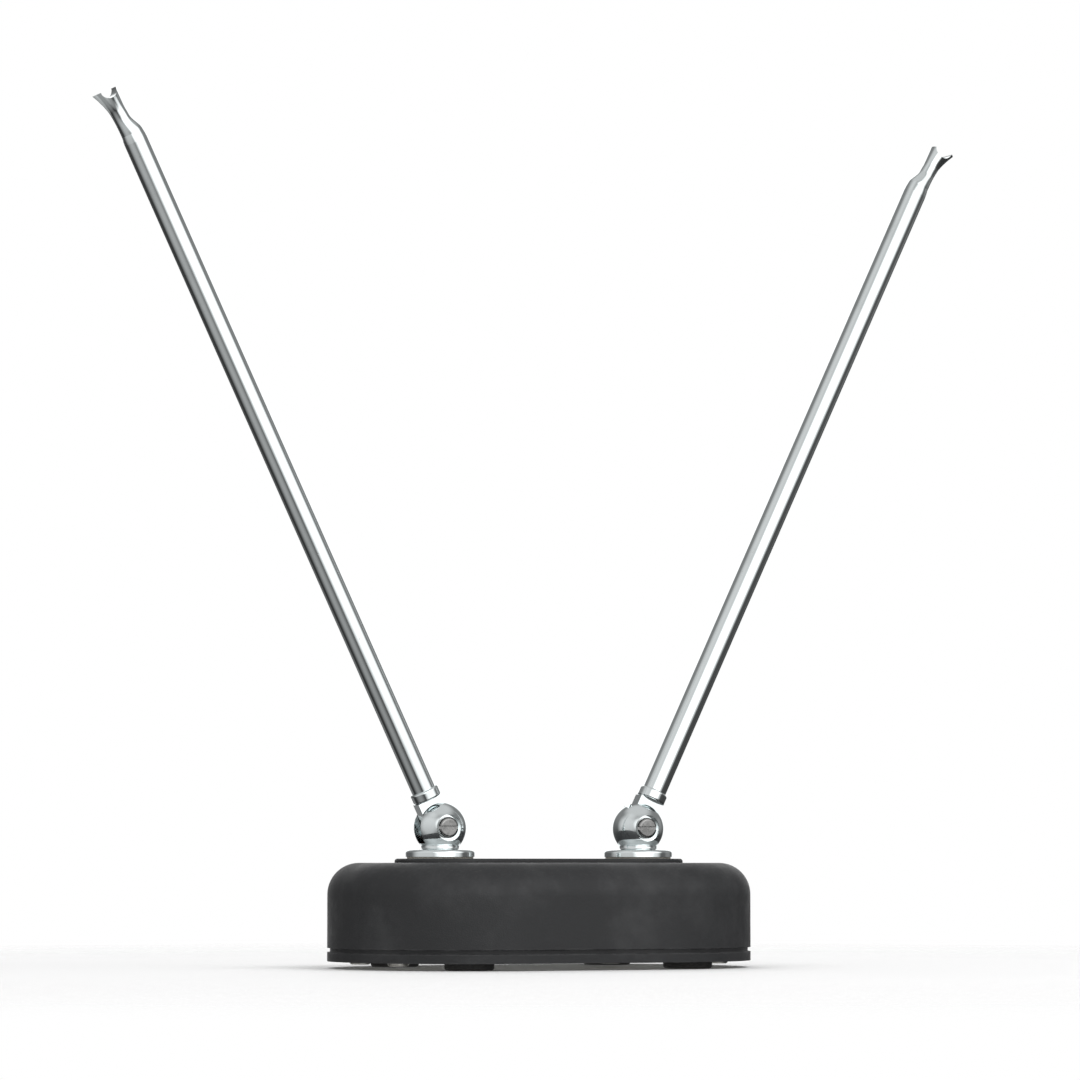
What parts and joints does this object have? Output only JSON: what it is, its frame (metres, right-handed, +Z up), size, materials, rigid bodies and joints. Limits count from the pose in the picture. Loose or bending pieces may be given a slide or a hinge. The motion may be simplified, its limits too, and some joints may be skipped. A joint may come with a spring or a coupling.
{
  "type": "rabbit ears antenna",
  "caption": "Set-top rabbit ears antenna: a weighted moulded base with a pair of swivelling, tilting telescopic chrome rods set in a V.",
  "frame": {"origin": "on the table, under the middle of the base", "axes": "+Z up; the rods spread along X, the right-hand one (seen from the front) towards +X; -Y is the front and the terminals face +Y"},
  "size_m": [0.2742, 0.084, 0.2464],
  "materials": {
    "base_plastic": "fine moulded texture, charcoal",
    "plate_steel": "zinc-plated sheet",
    "ballast_iron": "as cast",
    "foot_rubber": "moulded",
    "screw_steel": "zinc plated",
    "screw_chrome": "bright plated",
    "terminal_board": "brown phenolic board",
    "terminal_brass": "turned, slightly tarnished",
    "tag_brass": "tinned",
    "contact_bronze": "spring bronze",
    "wire_insulation": "soft vinyl sleeve",
    "nylon": "plain nylon",
    "fibre": "red fibre",
    "turret_chrome": "polished plating on a cast post",
    "eye_chrome": "polished plating",
    "rod_chrome": "polished plating on drawn tube",
    "cap_chrome": "polished plating, worn"
  },
  "bodies": {
    "base": {"base_shell": "base_plastic", "bottom_plate": "plate_steel", "ballast_weight": "ballast_iron", "rubber_feet": "foot_rubber", "bottom_plate_screws": "screw_steel", "ballast_screws": "screw_steel", "terminal_strip": "terminal_board", "terminal_strip_screws": "screw_steel", "terminal_screws": "terminal_brass", "terminal_cup_washers": "terminal_brass", "terminal_nuts": "terminal_brass", "solder_tags": "tag_brass", "left_contact_spring": "contact_bronze", "left_contact_screw": "screw_steel", "left_lead_wire": "wire_insulation", "left_slide_washer": "nylon", "left_flat_washer": "screw_steel", "left_spring_washer": "contact_bronze", "right_contact_spring": "contact_bronze", "right_contact_screw": "screw_steel", "right_lead_wire": "wire_insulation", "right_slide_washer": "nylon", "right_flat_washer": "screw_steel", "right_spring_washer": "contact_bronze"},
    "left_turret": {"left_turret": "turret_chrome", "left_retaining_clip": "screw_steel", "left_pivot_screw": "screw_chrome", "left_pivot_nut": "screw_chrome", "left_friction_washers": "fibre"},
    "left_rod": {"left_rod_eye": "eye_chrome", "left_tube_1": "rod_chrome"},
    "left_section_2": {"left_tube_2": "rod_chrome", "left_bush_2": "contact_bronze"},
    "left_section_3": {"left_tube_3": "rod_chrome", "left_bush_3": "contact_bronze"},
    "left_section_4": {"left_tube_4": "rod_chrome", "left_bush_4": "contact_bronze"},
    "left_section_5": {"left_tube_5": "rod_chrome", "left_bush_5": "contact_bronze", "left_tip_cap": "cap_chrome"},
    "right_turret": {"right_turret": "turret_chrome", "right_retaining_clip": "screw_steel", "right_pivot_screw": "screw_chrome", "right_pivot_nut": "screw_chrome", "right_friction_washers": "fibre"},
    "right_rod": {"right_rod_eye": "eye_chrome", "right_tube_1": "rod_chrome"},
    "right_section_2": {"right_tube_2": "rod_chrome", "right_bush_2": "contact_bronze"},
    "right_section_3": {"right_tube_3": "rod_chrome", "right_bush_3": "contact_bronze"},
    "right_section_4": {"right_tube_4": "rod_chrome", "right_bush_4": "contact_bronze"},
    "right_section_5": {"right_tube_5": "rod_chrome", "right_bush_5": "contact_bronze", "right_tip_cap": "cap_chrome"}
  },
  "joints": [
    {"name": "left_swivel", "type": "hinge", "parent": "base", "child": "left_turret", "pos_m": [-0.0313, 0, 0.0317], "axis": [0, 0, 1], "range_deg": [-90, 90]},
    {"name": "left_tilt", "type": "hinge", "parent": "left_turret", "child": "left_rod", "pos_m": [-0.0313, 0, 0.04], "axis": [0, -1, 0], "range_deg": [-25.9, 64.1]},
    {"name": "left_slide_2", "type": "slide", "parent": "left_rod", "child": "left_section_2", "axis": [-0.4368, 0, 0.8996], "range_m": [0, 0.1877]},
    {"name": "left_slide_3", "type": "slide", "parent": "left_section_2", "child": "left_section_3", "axis": [-0.4368, 0, 0.8996], "range_m": [0, 0.1792]},
    {"name": "left_slide_4", "type": "slide", "parent": "left_section_3", "child": "left_section_4", "axis": [-0.4368, 0, 0.8996], "range_m": [0, 0.1707]},
    {"name": "left_slide_5", "type": "slide", "parent": "left_section_4", "child": "left_section_5", "axis": [-0.4368, 0, 0.8996], "range_m": [0, 0.1622]},
    {"name": "right_swivel", "type": "hinge", "parent": "base", "child": "right_turret", "pos_m": [0.0313, 0, 0.0317], "axis": [0, 0, 1], "range_deg": [-90, 90]},
    {"name": "right_tilt", "type": "hinge", "parent": "right_turret", "child": "right_rod", "pos_m": [0.0313, 0, 0.04], "axis": [0, 1, 0], "range_deg": [-25.9, 64.1]},
    {"name": "right_slide_2", "type": "slide", "parent": "right_rod", "child": "right_section_2", "axis": [0.4368, 0, 0.8996], "range_m": [0, 0.1877]},
    {"name": "right_slide_3", "type": "slide", "parent": "right_section_2", "child": "right_section_3", "axis": [0.4368, 0, 0.8996], "range_m": [0, 0.1792]},
    {"name": "right_slide_4", "type": "slide", "parent": "right_section_3", "child": "right_section_4", "axis": [0.4368, 0, 0.8996], "range_m": [0, 0.1707]},
    {"name": "right_slide_5", "type": "slide", "parent": "right_section_4", "child": "right_section_5", "axis": [0.4368, 0, 0.8996], "range_m": [0, 0.1622]}
  ]
}
